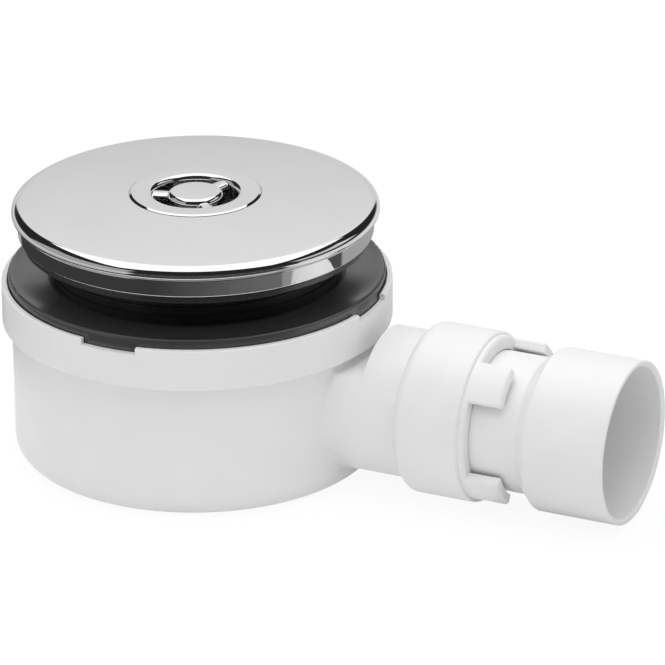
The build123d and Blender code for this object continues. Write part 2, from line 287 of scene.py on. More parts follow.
@dataclass(frozen=True)
class Finish:
    """A surface finish with fine variation in colour, gloss and relief.

    Attributes:
        name: Name of the material.
        dark: Colour in the darker blots.
        light: Colour in the lighter blots.
        blot_mm: Size of the colour blots.
        gloss: Lowest and highest roughness.
        gloss_mm: Size of the gloss patches.
        grain: Size and depth of the relief's grain, and how much of it shows.
        metal: 1 for metal plating, 0 for plastic and rubber.
        specular: Level of the plain reflection.
    """

    name: str
    dark: Colour
    light: Colour
    blot_mm: float
    gloss: Pair
    gloss_mm: float
    grain: tuple[float, float, float]
    metal: float = 0.0
    specular: float = 0.5

    def material(self) -> bpy.types.Material:
        """Makes the finish's node material, or gives it back if it is there.

        Returns:
            The material.
        """
        made = bpy.data.materials.get(self.name)
        if made:
            return made
        material, board = new_material(self.name)
        place = board.add("ShaderNodeTexCoord").outputs["Object"]
        shader = board.add("ShaderNodeBsdfPrincipled")
        shader.inputs["Metallic"].default_value = self.metal
        shader.inputs["Specular IOR Level"].default_value = self.specular
        blots = board.noise(place, self.blot_mm, BLOT_DETAIL)
        board.link(board.tint(blots, self.dark, self.light), shader.inputs["Base Color"])
        patches = board.noise(place, self.gloss_mm, GLOSS_DETAIL)
        board.link(board.ramp(patches, NOISE_RANGE, self.gloss), shader.inputs["Roughness"])
        size, depth, strength = self.grain
        relief = board.add("ShaderNodeBump")
        relief.inputs["Strength"].default_value = strength
        relief.inputs["Distance"].default_value = depth * MM
        board.link(board.noise(place, size), relief.inputs["Height"])
        board.link(relief.outputs["Normal"], shader.inputs["Normal"])
        board.end(shader.outputs["BSDF"])
        return material


WHITE_MOULDING = Finish(
    name="white moulding",
    dark=(0.86, 0.862, 0.863),
    light=(0.882, 0.883, 0.884),
    blot_mm=14.0,
    gloss=(0.32, 0.42),
    gloss_mm=6.0,
    grain=(0.5, 0.01, 0.25),
)
INNER_MOULDING = Finish(
    name="inner moulding",
    dark=(0.80, 0.81, 0.82),
    light=(0.84, 0.845, 0.85),
    blot_mm=10.0,
    gloss=(0.42, 0.52),
    gloss_mm=5.0,
    grain=(0.5, 0.012, 0.3),
)
POLISHED_CHROME = Finish(
    name="polished chrome",
    dark=(0.80, 0.802, 0.806),
    light=(0.828, 0.83, 0.833),
    blot_mm=22.0,
    gloss=(0.035, 0.06),
    gloss_mm=9.0,
    grain=(2.5, 0.002, 0.05),
    metal=1.0,
)
# Black rubber kept darker than the seal's rubber: its colour is partly painted shade, for the gasket in the
# flange's shade. The hidden rings take it too.
SHADE_DARKENED_RUBBER = Finish(
    name="shade-darkened rubber",
    dark=(0.015, 0.015, 0.0155),
    light=(0.022, 0.022, 0.0225),
    blot_mm=0.5,
    gloss=(0.26, 0.34),
    gloss_mm=1.2,
    grain=(0.35, 0.003, 0.15),
    specular=0.9,
)
SEAL_RUBBER = Finish(
    name="seal rubber",
    dark=(0.044, 0.044, 0.0445),
    light=(0.05, 0.05, 0.0505),
    blot_mm=9.0,
    gloss=(0.22, 0.27),
    gloss_mm=7.0,
    grain=(0.35, 0.002, 0.05),
    specular=1.0,
)
# Black plastic of the collar and its thread. Its very dark colour is partly painted shade from the flange
# above.
SHADE_DARKENED_COLLAR_PLASTIC = Finish(
    name="shade-darkened collar plastic",
    dark=(0.004, 0.004, 0.0045),
    light=(0.008, 0.008, 0.0085),
    blot_mm=4.0,
    gloss=(0.3, 0.42),
    gloss_mm=2.0,
    grain=(0.4, 0.01, 0.2),
)


def dress(piece: Piece, finish: Finish) -> None:
    """Gives every face of a piece one finish.

    Args:
        piece: The mesh object.
        finish: Its finish.
    """
    piece.data.materials.clear()
    piece.data.materials.append(finish.material())


def pick(piece: Piece) -> None:
    """Selects one piece alone and makes it active.

    Args:
        piece: The piece.
    """
    bpy.ops.object.select_all(action="DESELECT")
    piece.select_set(True)
    bpy.context.view_layer.objects.active = piece


def lay_sheet(name: str, side: float = 1.0) -> Piece:
    """Adds a square sheet at the origin, with nothing else selected.

    Args:
        name: Name of the sheet.
        side: Length of its sides, in metres.

    Returns:
        The sheet.
    """
    bpy.ops.object.select_all(action="DESELECT")
    bpy.ops.mesh.primitive_plane_add(size=side, location=ORIGIN)
    bpy.context.object.name = name
    return bpy.context.object


def edit_all() -> None:
    """Opens the active piece's mesh for editing, with all of it selected."""
    bpy.ops.object.mode_set(mode="EDIT")
    bpy.ops.mesh.select_all(action="SELECT")


def close_edit() -> None:
    """Ends the editing and smooths what is rounded."""
    bpy.ops.object.mode_set(mode="OBJECT")
    bpy.ops.object.shade_smooth_by_angle(angle=SMOOTH_BELOW)


@dataclass(frozen=True)
class Corner:
    """A corner of a section.

    Attributes:
        across: Distance from the axis.
        up: Distance along the axis.
        rounding: Radius that the corner is rounded to.
    """

    across: float
    up: float
    rounding: float = 0.0

    def place(self) -> Vector:
        """Gives the corner as a point of the section."""
        return Vector((self.across, self.up))


def arc(centre: Pair, radius: float, start: float, end: float, steps: int) -> list[Corner]:
    """Gives the points of an arc of a section.

    Args:
        centre: Its centre, across and up.
        radius: Its radius.
        start: Tilt of its surface at the first point, in degrees from facing up towards facing outwards.
        end: Tilt at the last point.
        steps: How many parts it has.

    Returns:
        The points as plain corners.
    """
    tilts = [math.radians(start + (end - start) * step / steps) for step in range(steps + 1)]
    across, up = centre
    return [Corner(across + radius * math.sin(tilt), up + radius * math.cos(tilt)) for tilt in tilts]


@dataclass
class Section:
    """A closed section that is turned about an axis.

    Attributes:
        corners: Its corners in order.
    """

    corners: list[Corner]

    def rounded(self, index: int) -> list[Vector]:
        """Gives the points that stand for one corner.

        Args:
            index: The corner's place in the list.

        Returns:
            The corner itself, or the arc that rounds it.
        """
        corner = self.corners[index]
        here = corner.place()
        if corner.rounding <= 0.0:
            return [here]
        before = (self.corners[index - 1].place() - here).normalized()
        after = (self.corners[(index + 1) % len(self.corners)].place() - here).normalized()
        half = before.angle(after) / 2.0
        middle = here + (before + after).normalized() * corner.rounding / math.sin(half)
        first = here + before * corner.rounding / math.tan(half) - middle
        last = here + after * corner.rounding / math.tan(half) - middle
        sweep = first.angle_signed(last)
        steps = max(CORNER_LEAST, math.ceil(abs(math.degrees(sweep)) / CORNER_STEP))
        return [middle + Matrix.Rotation(-sweep * step / steps, 2) @ first for step in range(steps + 1)]

    def turn(self, name: str, steps: int) -> Piece:
        """Draws the section and spins it about the trap's axis into a piece.

        Args:
            name: Name of the piece.
            steps: How many parts the turn has.

        Returns:
            The piece.
        """
        places = [place for index in range(len(self.corners)) for place in self.rounded(index)]
        piece = lay_sheet(name)
        edit_all()
        bpy.ops.mesh.merge(type="CENTER")
        bpy.ops.transform.translate(value=(places[0].x * MM, 0.0, places[0].y * MM))
        for here, there in zip(places, places[1:] + places[:1]):
            step = (there - here) * MM
            bpy.ops.mesh.extrude_vertices_move(TRANSFORM_OT_translate={"value": (step.x, 0.0, step.y)})
        bpy.ops.mesh.select_all(action="SELECT")
        bpy.ops.mesh.spin(steps=steps, angle=math.tau, center=ORIGIN, axis=UP)
        bpy.ops.mesh.select_all(action="SELECT")
        bpy.ops.mesh.remove_doubles(threshold=WELD)
        bpy.ops.mesh.delete_loose(use_faces=False)
        bpy.ops.mesh.select_all(action="SELECT")
        bpy.ops.mesh.normals_make_consistent(inside=False)
        close_edit()
        return piece


@dataclass
class Rib:
    """A radial rib that is modelled along +X and copied round the trap's axis.

    Attributes:
        low: Its inner lower end.
        high: Its outer upper end.
        width: Its width.
        count: How many there are.
        first: Direction of the first from +X, in degrees.
        soft: Rounding of a bar's edges, as a share of its thinner side.
        soft_parts: How many parts that rounding has.
        facets: How many sides a spoke's round section has.
    """

    low: Corner
    high: Corner
    width: float
    count: int
    first: float = 0.0
    soft: float = 0.2
    soft_parts: int = 4
    facets: int = 64

    def fit(self) -> None:
        """Brings a unit shape, all selected, to the rib's size and place."""
        size = (self.high.place() - self.low.place()) * MM
        middle = (self.high.place() + self.low.place()) * MM / 2.0
        bpy.ops.transform.resize(value=(size.x, self.width * MM, size.y))
        bpy.ops.transform.translate(value=(middle.x, 0.0, middle.y))

    def bars(self) -> list[Piece]:
        """Models a bar with softened edges.

        Returns:
            The bars all round.
        """
        bpy.ops.object.select_all(action="DESELECT")
        bpy.ops.mesh.primitive_cube_add(size=1.0, location=ORIGIN)
        edit_all()
        self.fit()
        edge = min(self.width, self.high.up - self.low.up) * self.soft
        bpy.ops.mesh.bevel(offset=edge * MM, segments=self.soft_parts, affect="EDGES")
        close_edit()
        return self.copies(bpy.context.object)

    def spokes(self) -> list[Piece]:
        """Models a spoke with a crowned top.

        Returns:
            The spokes all round.
        """
        bpy.ops.object.select_all(action="DESELECT")
        bpy.ops.mesh.primitive_cylinder_add(vertices=self.facets, radius=0.5, depth=1.0, location=ORIGIN)
        edit_all()
        bpy.ops.transform.rotate(value=math.pi / 2.0, orient_axis="Y", center_override=ORIGIN)
        self.fit()
        close_edit()
        return self.copies(bpy.context.object)

    def copies(self, piece: Piece) -> list[Piece]:
        """Copies a rib at even steps round the trap's axis.

        Args:
            piece: The rib along +X.

        Returns:
            The ribs, each with its own mesh.
        """
        pieces = [piece]
        for _ in range(self.count - 1):
            pick(piece)
            bpy.ops.object.duplicate(linked=False)
            pieces.append(bpy.context.object)
        for index, rib in enumerate(pieces):
            pick(rib)
            edit_all()
            turn = math.radians(self.first + FULL_TURN * index / self.count)
            bpy.ops.transform.rotate(value=-turn, orient_axis="Z", center_override=ORIGIN)
            bpy.ops.object.mode_set(mode="OBJECT")
        return pieces


def join(name: str, pieces: list[Piece]) -> Piece:
    """Joins parts of one moulding into a piece that moves with the trap.

    Args:
        name: Name of the piece.
        pieces: The parts.

    Returns:
        The piece.
    """
    pick(pieces[0])
    for piece in pieces:
        piece.select_set(True)
    if len(pieces) > 1:
        bpy.ops.object.join()
    pieces[0].name = name
    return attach(pieces[0], BODY)


def dress_nodes(nodes: Nodes, finishes: dict[str, Finish]) -> list[Piece]:
    """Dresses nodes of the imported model.

    Args:
        nodes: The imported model's nodes by name.
        finishes: The finish of each node to dress, by the node's name.

    Returns:
        The dressed nodes.
    """
    for name, finish in finishes.items():
        dress(nodes[name], finish)
    return [nodes[name] for name in finishes]


@dataclass
class CoverSet:
    """Chromed cover with its rosette, and the strainer under it.

    Attributes:
        nodes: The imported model's nodes by name.
        radius: Outer radius of the cover.
        bottom: Height of the cover's lower edge.
        lip: Radius of the lower edge's rounding.
        shoulder: Radius of the shoulder above it.
        brow: Radius of the softer rounding between the shoulder and the dome.
        brow_tilt: Tilt of the surface where the brow meets the shoulder, in degrees.
        dome_tilt: Tilt of the dome where it meets the brow, in degrees.
        wall: Thickness of the cover.
        inner_rise: Height of the plain wall inside the lower edge.
        inner_step: How far inside that wall the dome's underside starts.
        bore: Radius of the cover's hole for the rosette.
        hub: Outer radius, inner radius and lower end of the hub under the hole.
        hub_edge: Rounding of the hub's lower edges.
        seat: Height of the rosette's seat.
        seat_edge: Rounding of the seat's inner edge.
        foot: Inner end, outer end, lower end and width of a foot.
        foot_reach: How far a foot's upper end is above the cover's lower edge.
        foot_count: How many feet there are.
        rosette_top: Height of the rosette's face.
        rosette_radius: Outer radius of the rosette.
        chamfer: Width and drop of the rosette's chamfer.
        well: Radius, wall and depth of the rosette's well.
        disc: Radius and thickness of the centre disc.
        stud: Radius and length of the stud under the disc.
        soft: Rounding of the well's and the disc's upper edges.
        edge: Rounding of the rosette's other edges.
        bridge: Drop, thickness, width and first direction of the bridges.
        bridge_count: How many bridges there are.
        arc_parts: How many parts the arcs of the dome, the brow and shoulder, the lip and the underside have.
        turn_parts: How many parts the turns of the cover, the rosette's ring and its disc have.
    """

    nodes: Nodes
    radius: float = 56.0
    bottom: float = 76.8
    lip: float = 1.1
    shoulder: float = 2.2
    brow: float = 4.75
    brow_tilt: float = 38.0
    dome_tilt: float = 5.7
    wall: float = 1.8
    inner_rise: float = 1.4
    inner_step: float = 1.0
    bore: float = 20.2
    hub: tuple[float, float, float] = (22.2, 18.2, 79.63)
    hub_edge: float = 0.3
    seat: float = 81.13
    seat_edge: float = 0.2
    foot: tuple[float, float, float, float] = (46.5, 50.5, 72.2, 2.0)
    foot_reach: float = 3.0
    foot_count: int = 6
    rosette_top: float = 83.33
    rosette_radius: float = 20.05
    chamfer: Pair = (0.7, 0.36)
    well: tuple[float, float, float] = (12.8, 2.1, 6.0)
    disc: Pair = (8.6, 3.0)
    stud: Pair = (4.6, 14.0)
    soft: float = 1.8
    edge: float = 0.4
    bridge: tuple[float, float, float, float] = (0.9, 2.4, 5.0, 75.6)
    bridge_count: int = 3
    arc_parts: tuple[int, int, int, int] = (16, 14, 12, 10)
    turn_parts: tuple[int, int, int] = (256, 192, 128)

    def dome(self) -> tuple[Pair, Pair, float]:
        """Works out where the cover's arcs meet.

        Returns:
            The centre of the brow, the centre of the dome and the dome's radius.
        """
        tilt = math.radians(self.brow_tilt)
        reach = self.brow - self.shoulder
        brow = (
            self.radius - self.shoulder - reach * math.sin(tilt),
            self.bottom + self.lip - reach * math.cos(tilt),
        )
        rise = math.radians(self.dome_tilt)
        centre = (0.0, brow[1] - brow[0] / math.tan(rise))
        return brow, centre, brow[0] / math.sin(rise) + self.brow

    def cover_section(self) -> Section:
        """Draws the cover's section with its rolled edge and the hub.

        Returns:
            The section.
        """
        brow, centre, radius = self.dome()
        level = self.bottom + self.lip
        shoulder = (self.radius - self.shoulder, level)
        lip = (self.radius - self.lip, level)
        under = radius - self.wall
        inside = self.radius - self.wall
        hub_outer, hub_inner, hub_low = self.hub
        dome_parts, brow_parts, lip_parts, under_parts = self.arc_parts
        start = math.degrees(math.asin(self.bore / radius))
        far = math.degrees(math.asin((inside - self.inner_step) / under))
        near = math.degrees(math.asin(hub_outer / under))
        corners = arc(centre, radius, start, self.dome_tilt, dome_parts)
        corners += arc(brow, self.brow, self.dome_tilt, self.brow_tilt, brow_parts)[1:]
        corners += arc(shoulder, self.shoulder, self.brow_tilt, OUTWARD, brow_parts)[1:]
        corners += arc(lip, self.lip, OUTWARD, DOWNWARD, lip_parts)[1:]
        corners += [Corner(inside, self.bottom), Corner(inside, self.bottom + self.inner_rise)]
        corners += arc(centre, under, far, near, under_parts)
        corners += [
            Corner(hub_outer, hub_low, self.hub_edge),
            Corner(hub_inner, hub_low, self.hub_edge),
            Corner(hub_inner, self.seat, self.seat_edge),
            Corner(self.bore, self.seat),
        ]
        return Section(corners)

    def feet(self) -> list[Piece]:
        """Makes the feet that stand on the flange.

        Returns:
            The feet.
        """
        inner, outer, low, width = self.foot
        high = Corner(outer, self.bottom + self.foot_reach)
        return Rib(Corner(inner, low), high, width, self.foot_count).bars()

    def ring_section(self) -> Section:
        """Draws the rosette's ring with its chamfer and well.

        Returns:
            The section.
        """
        top = self.rosette_top
        radius, wall, depth = self.well
        width, drop = self.chamfer
        corners = [
            Corner(radius, top - depth, self.edge),
            Corner(radius + wall, top - depth, self.edge),
            Corner(radius + wall, self.seat),
            Corner(self.rosette_radius, self.seat),
            Corner(self.rosette_radius, top - drop),
            Corner(self.rosette_radius - width, top, self.edge),
            Corner(radius, top, self.soft),
        ]
        return Section(corners)

    def disc_section(self) -> Section:
        """Draws the rosette's disc with the stud that plugs into the strainer.

        Returns:
            The section.
        """
        top = self.rosette_top
        radius, thickness = self.disc
        stud, length = self.stud
        corners = [
            Corner(0.0, top - thickness - length),
            Corner(stud, top - thickness - length, self.edge),
            Corner(stud, top - thickness),
            Corner(radius, top - thickness, self.edge),
            Corner(radius, top, self.soft),
            Corner(0.0, top),
        ]
        return Section(corners)

    def bridges(self) -> list[Piece]:
        """Makes the bridges between the rosette's ring and disc.

        Returns:
            The bridges.
        """
        drop, thickness, width, first = self.bridge
        well_radius, well_wall, _ = self.well
        high = Corner(well_radius + well_wall / 2.0, self.rosette_top - drop)
        low = Corner(self.disc[0] / 2.0, high.up - thickness)
        return Rib(low, high, width, self.bridge_count, first).spokes()

    def build(self) -> list[Piece]:
        """Turns the cover and dresses its pieces.

        Returns:
            The pieces.
        """
        cover_turn, ring_turn, disc_turn = self.turn_parts
        plate = self.cover_section().turn("cover_plate", cover_turn)
        cover = join("cover_plate", [plate, *self.feet()])
        ring = self.ring_section().turn("rosette", ring_turn)
        disc = self.disc_section().turn("disc", disc_turn)
        rosette = join("rosette", [ring, disc, *self.bridges()])
        for piece, node in ((cover, "cover"), (rosette, "cover_insert")):
            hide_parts(node)
            dress(piece, POLISHED_CHROME)
        return [cover, rosette, *dress_nodes(self.nodes, {"strainer": INNER_MOULDING})]


@dataclass
class TrayClamp:
    """Flange, gasket, collar and seal that hold the shower tray.

    Attributes:
        nodes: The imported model's nodes by name.
        root: Radius just inside the collar's surface, where the thread starts.
        crest: Radius of the thread's crest.
        thread_low: Height of the thread's first turn.
        pitch: Rise of one turn.
        turns: How many turns show.
        base: Width of the thread at its root.
        tip: Width of the thread at its crest.
        thread_parts: How many parts one turn has.
        flange: Lower and upper outer radius of the flange.
        levels: Heights of the flange's sleeve end, underside, plate and upper edge.
        sleeve: Inner and outer radius of the flange's sleeve.
        wall: Thickness of the flange's edge.
        edge: Rounding of the flange's lesser edges.
        under_edge: Rounding of the flange's lower outer edge.
        plate_edge: Rounding inside it, where the plate meets the edge.
        flange_turn: How many parts the flange's turn has.
    """

    nodes: Nodes
    root: float = 44.3
    crest: float = 44.8
    thread_low: float = 58.95
    pitch: float = 2.85
    turns: int = 3
    base: float = 1.5
    tip: float = 0.6
    thread_parts: int = 128
    flange: Pair = (54.1, 54.5)
    levels: tuple[float, float, float, float] = (60.6, 70.6, 72.2, 76.4)
    sleeve: Pair = (39.25, 41.25)
    wall: float = 1.5
    edge: float = 0.4
    under_edge: float = 0.9
    plate_edge: float = 0.8
    flange_turn: int = 512

    def flange_section(self) -> Section:
        """Draws the flange's section, with its flared edge and the sleeve inside the collar.

        Returns:
            The section.
        """
        end, under, plate, top = self.levels
        lower, upper = self.flange
        bore, sleeve = self.sleeve
        corners = [
            Corner(bore, end, self.edge),
            Corner(sleeve, end, self.edge),
            Corner(sleeve, under),
            Corner(lower, under, self.under_edge),
            Corner(upper, top, self.edge),
            Corner(upper - self.wall, top, self.edge),
            Corner(lower - self.wall, plate, self.plate_edge),
            Corner(bore, plate, self.edge),
        ]
        return Section(corners)

    def thread(self) -> Piece:
        """Winds the collar's thread.

        Returns:
            The piece.
        """
        upright = (0.0, math.pi / 2.0, 0.0)
        depth = self.crest - self.root
        middle = (self.root + depth / 2.0) * MM
        low = self.thread_low * MM
        bpy.ops.object.select_all(action="DESELECT")
        bpy.ops.mesh.primitive_plane_add(size=1.0, location=ORIGIN, rotation=upright)
        piece = bpy.context.object
        bpy.ops.object.transform_apply(location=False, rotation=True, scale=False)
        edit_all()
        bpy.ops.mesh.delete(type="ONLY_FACE")
        bpy.ops.mesh.select_all(action="SELECT")
        bpy.ops.transform.resize(value=(1.0, depth * MM, self.base * MM))
        bpy.ops.transform.translate(value=(0.0, middle, low))
        bpy.ops.object.mode_set(mode="OBJECT")
        for vertex in piece.data.vertices:
            vertex.select = vertex.co.y > middle
        bpy.ops.object.mode_set(mode="EDIT")
        bpy.ops.transform.resize(value=(1.0, 1.0, self.tip / self.base), center_override=(0.0, 0.0, low))
        bpy.ops.object.mode_set(mode="OBJECT")
        screw = piece.modifiers.new("thread", "SCREW")
        screw.angle = math.tau
        screw.screw_offset = self.pitch * MM
        screw.iterations = self.turns
        screw.steps = self.thread_parts
        screw.render_steps = self.thread_parts
        screw.use_merge_vertices = True
        screw.merge_threshold = WELD
        bpy.ops.object.modifier_apply(modifier=screw.name)
        edit_all()
        # Both ends of the thread are still open, with four sides each.
        bpy.ops.mesh.fill_holes(sides=4)
        bpy.ops.mesh.select_all(action="SELECT")
        bpy.ops.mesh.normals_make_consistent(inside=False)
        close_edit()
        return join("collar_thread", [piece])

    def build(self) -> list[Piece]:
        """Winds the thread, turns the flange and dresses the clamp's pieces.

        Returns:
            The pieces.
        """
        thread = self.thread()
        dress(thread, SHADE_DARKENED_COLLAR_PLASTIC)
        flange = join("flange_ring", [self.flange_section().turn("flange_ring", self.flange_turn)])
        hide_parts("waste_flange")
        dress(flange, POLISHED_CHROME)
        finishes = {
            # The gasket takes the darker rubber, whose colour is partly painted shade from the flange above
            # it.
            "flange_gasket": SHADE_DARKENED_RUBBER,
            "tray_seal": SEAL_RUBBER,
            "threaded_collar": SHADE_DARKENED_COLLAR_PLASTIC,
        }
        return [thread, flange, *dress_nodes(self.nodes, finishes)]


@dataclass
class CupSet:
    """White cup with its top ring, and the dip tube inside.

    Attributes:
        nodes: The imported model's nodes by name.
    """

    nodes: Nodes

    def build(self) -> list[Piece]:
        """Dresses the cup's pieces.

        Returns:
            The pieces.
        """
        finishes = {
            "trap_cup": WHITE_MOULDING,
            "top_ring": WHITE_MOULDING,
            "dip_tube": INNER_MOULDING,
            "cup_seal": SHADE_DARKENED_RUBBER,
            "dip_tube_ring": SHADE_DARKENED_RUBBER,
        }
        return dress_nodes(self.nodes, finishes)


@dataclass
class OutletSet:
    """Lock ring and outlet tail, with the seal between them.

    Attributes:
        nodes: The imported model's nodes by name.
        height: Height of the outlet's axis.
        tail: Bore and outer radius of the tail inside the socket.
        pipe: Bore and outer radius of the pipe end.
        ends: How far the tail's start, the cone's two ends and the mouth are along the outlet.
        cone_inset: How far the cone inside lies behind the cone outside.
        chamfer: Width and depth of the mouth's inner chamfer.
        start_edges: Rounding of the start's inner and outer edge.
        cone_edges: Rounding of the cone's ends outside, the narrow one first.
        mouth_edges: Rounding of the mouth's outer edge and of the chamfer's two edges.
        bore_edges: Rounding of the cone's ends inside, the narrow one first.
        tail_turn: How many parts the tail's turn has.
    """

    nodes: Nodes
    height: float = 26.25
    tail: Pair = (19.0, 20.8)
    pipe: Pair = (23.0, 24.9)
    ends: tuple[float, float, float, float] = (81.0, 114.9, 119.0, 144.45)
    cone_inset: float = 0.75
    chamfer: Pair = (0.8, 0.8)
    start_edges: Pair = (0.4, 0.8)
    cone_edges: Pair = (1.5, 1.2)
    mouth_edges: tuple[float, float, float] = (0.45, 0.2, 0.3)
    bore_edges: Pair = (0.4, 1.5)
    tail_turn: int = 192

    def tail_section(self) -> Section:
        """Draws the tail's section, with the distance along the outlet as its height.

        Returns:
            The section.
        """
        start, neck, shoulder, mouth = self.ends
        width, depth = self.chamfer
        tail_bore, tail = self.tail
        pipe_bore, pipe = self.pipe
        rim, chamfer_outer, chamfer_inner = self.mouth_edges
        corners = [
            Corner(tail_bore, start, self.start_edges[0]),
            Corner(tail, start, self.start_edges[1]),
            Corner(tail, neck, self.cone_edges[0]),
            Corner(pipe, shoulder, self.cone_edges[1]),
            Corner(pipe, mouth, rim),
            Corner(pipe_bore + width, mouth, chamfer_outer),
            Corner(pipe_bore, mouth - depth, chamfer_inner),
            Corner(pipe_bore, shoulder + self.cone_inset, self.bore_edges[1]),
            Corner(tail_bore, neck + self.cone_inset, self.bore_edges[0]),
        ]
        return Section(corners)

    def lay_along(self, piece: Piece) -> None:
        """Lays an upright turned piece along the outlet's axis.

        Args:
            piece: The piece.
        """
        pick(piece)
        edit_all()
        bpy.ops.transform.rotate(value=-math.pi / 2.0, orient_axis="Y", center_override=ORIGIN)
        bpy.ops.transform.translate(value=(0.0, 0.0, self.height * MM))
        bpy.ops.object.mode_set(mode="OBJECT")

    def build(self) -> list[Piece]:
        """Turns the tail and dresses the outlet's pieces.

        Returns:
            The pieces.
        """
        tail = self.tail_section().turn("tail_pipe", self.tail_turn)
        self.lay_along(tail)
        tail = join("tail_pipe", [tail])
        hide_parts("outlet_tail")
        dress(tail, WHITE_MOULDING)
        finishes = {"lock_ring": WHITE_MOULDING, "slip_washer": INNER_MOULDING, "outlet_seal": SHADE_DARKENED_RUBBER}
        return [tail, *dress_nodes(self.nodes, finishes)]


@dataclass(frozen=True)
class Card:
    """A bright card of the studio that polished metal shows.

    Attributes:
        middle: Direction of its middle in degrees, 0 towards the camera and positive to the camera's right.
        half_width: How far it reaches to each side, in degrees.
        levels: Brightness at the ends of its reach, the one of lesser direction first.
        low: Height of its lower edge above the horizon, in degrees.
        high: Height of its upper edge, in degrees.
        rise: Brightness of its upper edge as a share of its lower edge.
        soft: Width of its soft edges, in degrees.
    """

    middle: float
    half_width: float
    levels: Pair
    low: float = -90.0
    high: float = 90.0
    rise: float = 1.0
    soft: float = 3.0

    def level(self, board: NodeBoard, turn: Socket, height: Socket) -> Socket:
        """Lays out the card's brightness.

        Args:
            board: The board to lay it out on.
            turn: Socket of the direction round the trap, in degrees.
            height: Socket of the height above the horizon, in degrees.

        Returns:
            The brightness's socket, 0 away from the card.
        """
        half = self.half_width
        soft = self.soft / 2.0
        side = board.math("WRAP", board.math("SUBTRACT", turn, self.middle), -HALF_TURN, HALF_TURN)
        window = board.ramp(board.math("ABSOLUTE", side), (half - soft, half + soft), (1.0, 0.0))
        above = board.ramp(height, (self.low - soft, self.low + soft), (0.0, 1.0))
        below = board.ramp(height, (self.high - soft, self.high + soft), (1.0, 0.0))
        level = board.math("MULTIPLY", board.ramp(side, (-half, half), self.levels), window)
        level = board.math("MULTIPLY", level, board.math("MULTIPLY", above, below))
        return board.math("MULTIPLY", level, board.ramp(height, (self.low, self.high), (1.0, self.rise)))


ROUND_ABOUT: tuple[Card, ...] = (
    Card(middle=180.0, half_width=21.0, levels=(0.65, 0.62), low=-8.0, high=48.0, rise=1.92),
    Card(middle=-112.0, half_width=75.0, levels=(0.85, 0.85), low=-20.0, high=9.0),
    Card(middle=123.0, half_width=57.0, levels=(0.85, 0.85), low=-20.0, high=9.0),
    Card(middle=-81.0, half_width=39.0, levels=(0.5, 0.5), low=12.0, high=42.0),
    Card(middle=98.0, half_width=28.0, levels=(0.6, 0.9), low=25.0, high=42.0),
    Card(middle=0.0, half_width=180.0, levels=(0.05, 0.05), low=-30.0, high=14.0, soft=8.0),
)
NEAR_FLOOR: tuple[Card, ...] = (
    Card(middle=-78.0, half_width=63.0, levels=(0.045, 0.045)),
    Card(middle=0.0, half_width=23.0, levels=(0.045, 0.12)),
    Card(middle=35.0, half_width=17.0, levels=(0.12, 0.16)),
    Card(middle=62.0, half_width=12.0, levels=(0.3, 0.3)),
    Card(middle=86.0, half_width=14.0, levels=(0.08, 0.08)),
    Card(middle=159.0, half_width=62.0, levels=(0.4, 0.4)),
)
FAR_FLOOR: tuple[Card, ...] = (
    Card(middle=-109.0, half_width=71.0, levels=(0.55, 0.55)),
    Card(middle=8.0, half_width=47.0, levels=(0.06, 0.06)),
    Card(middle=117.0, half_width=63.0, levels=(0.8, 0.8)),
)


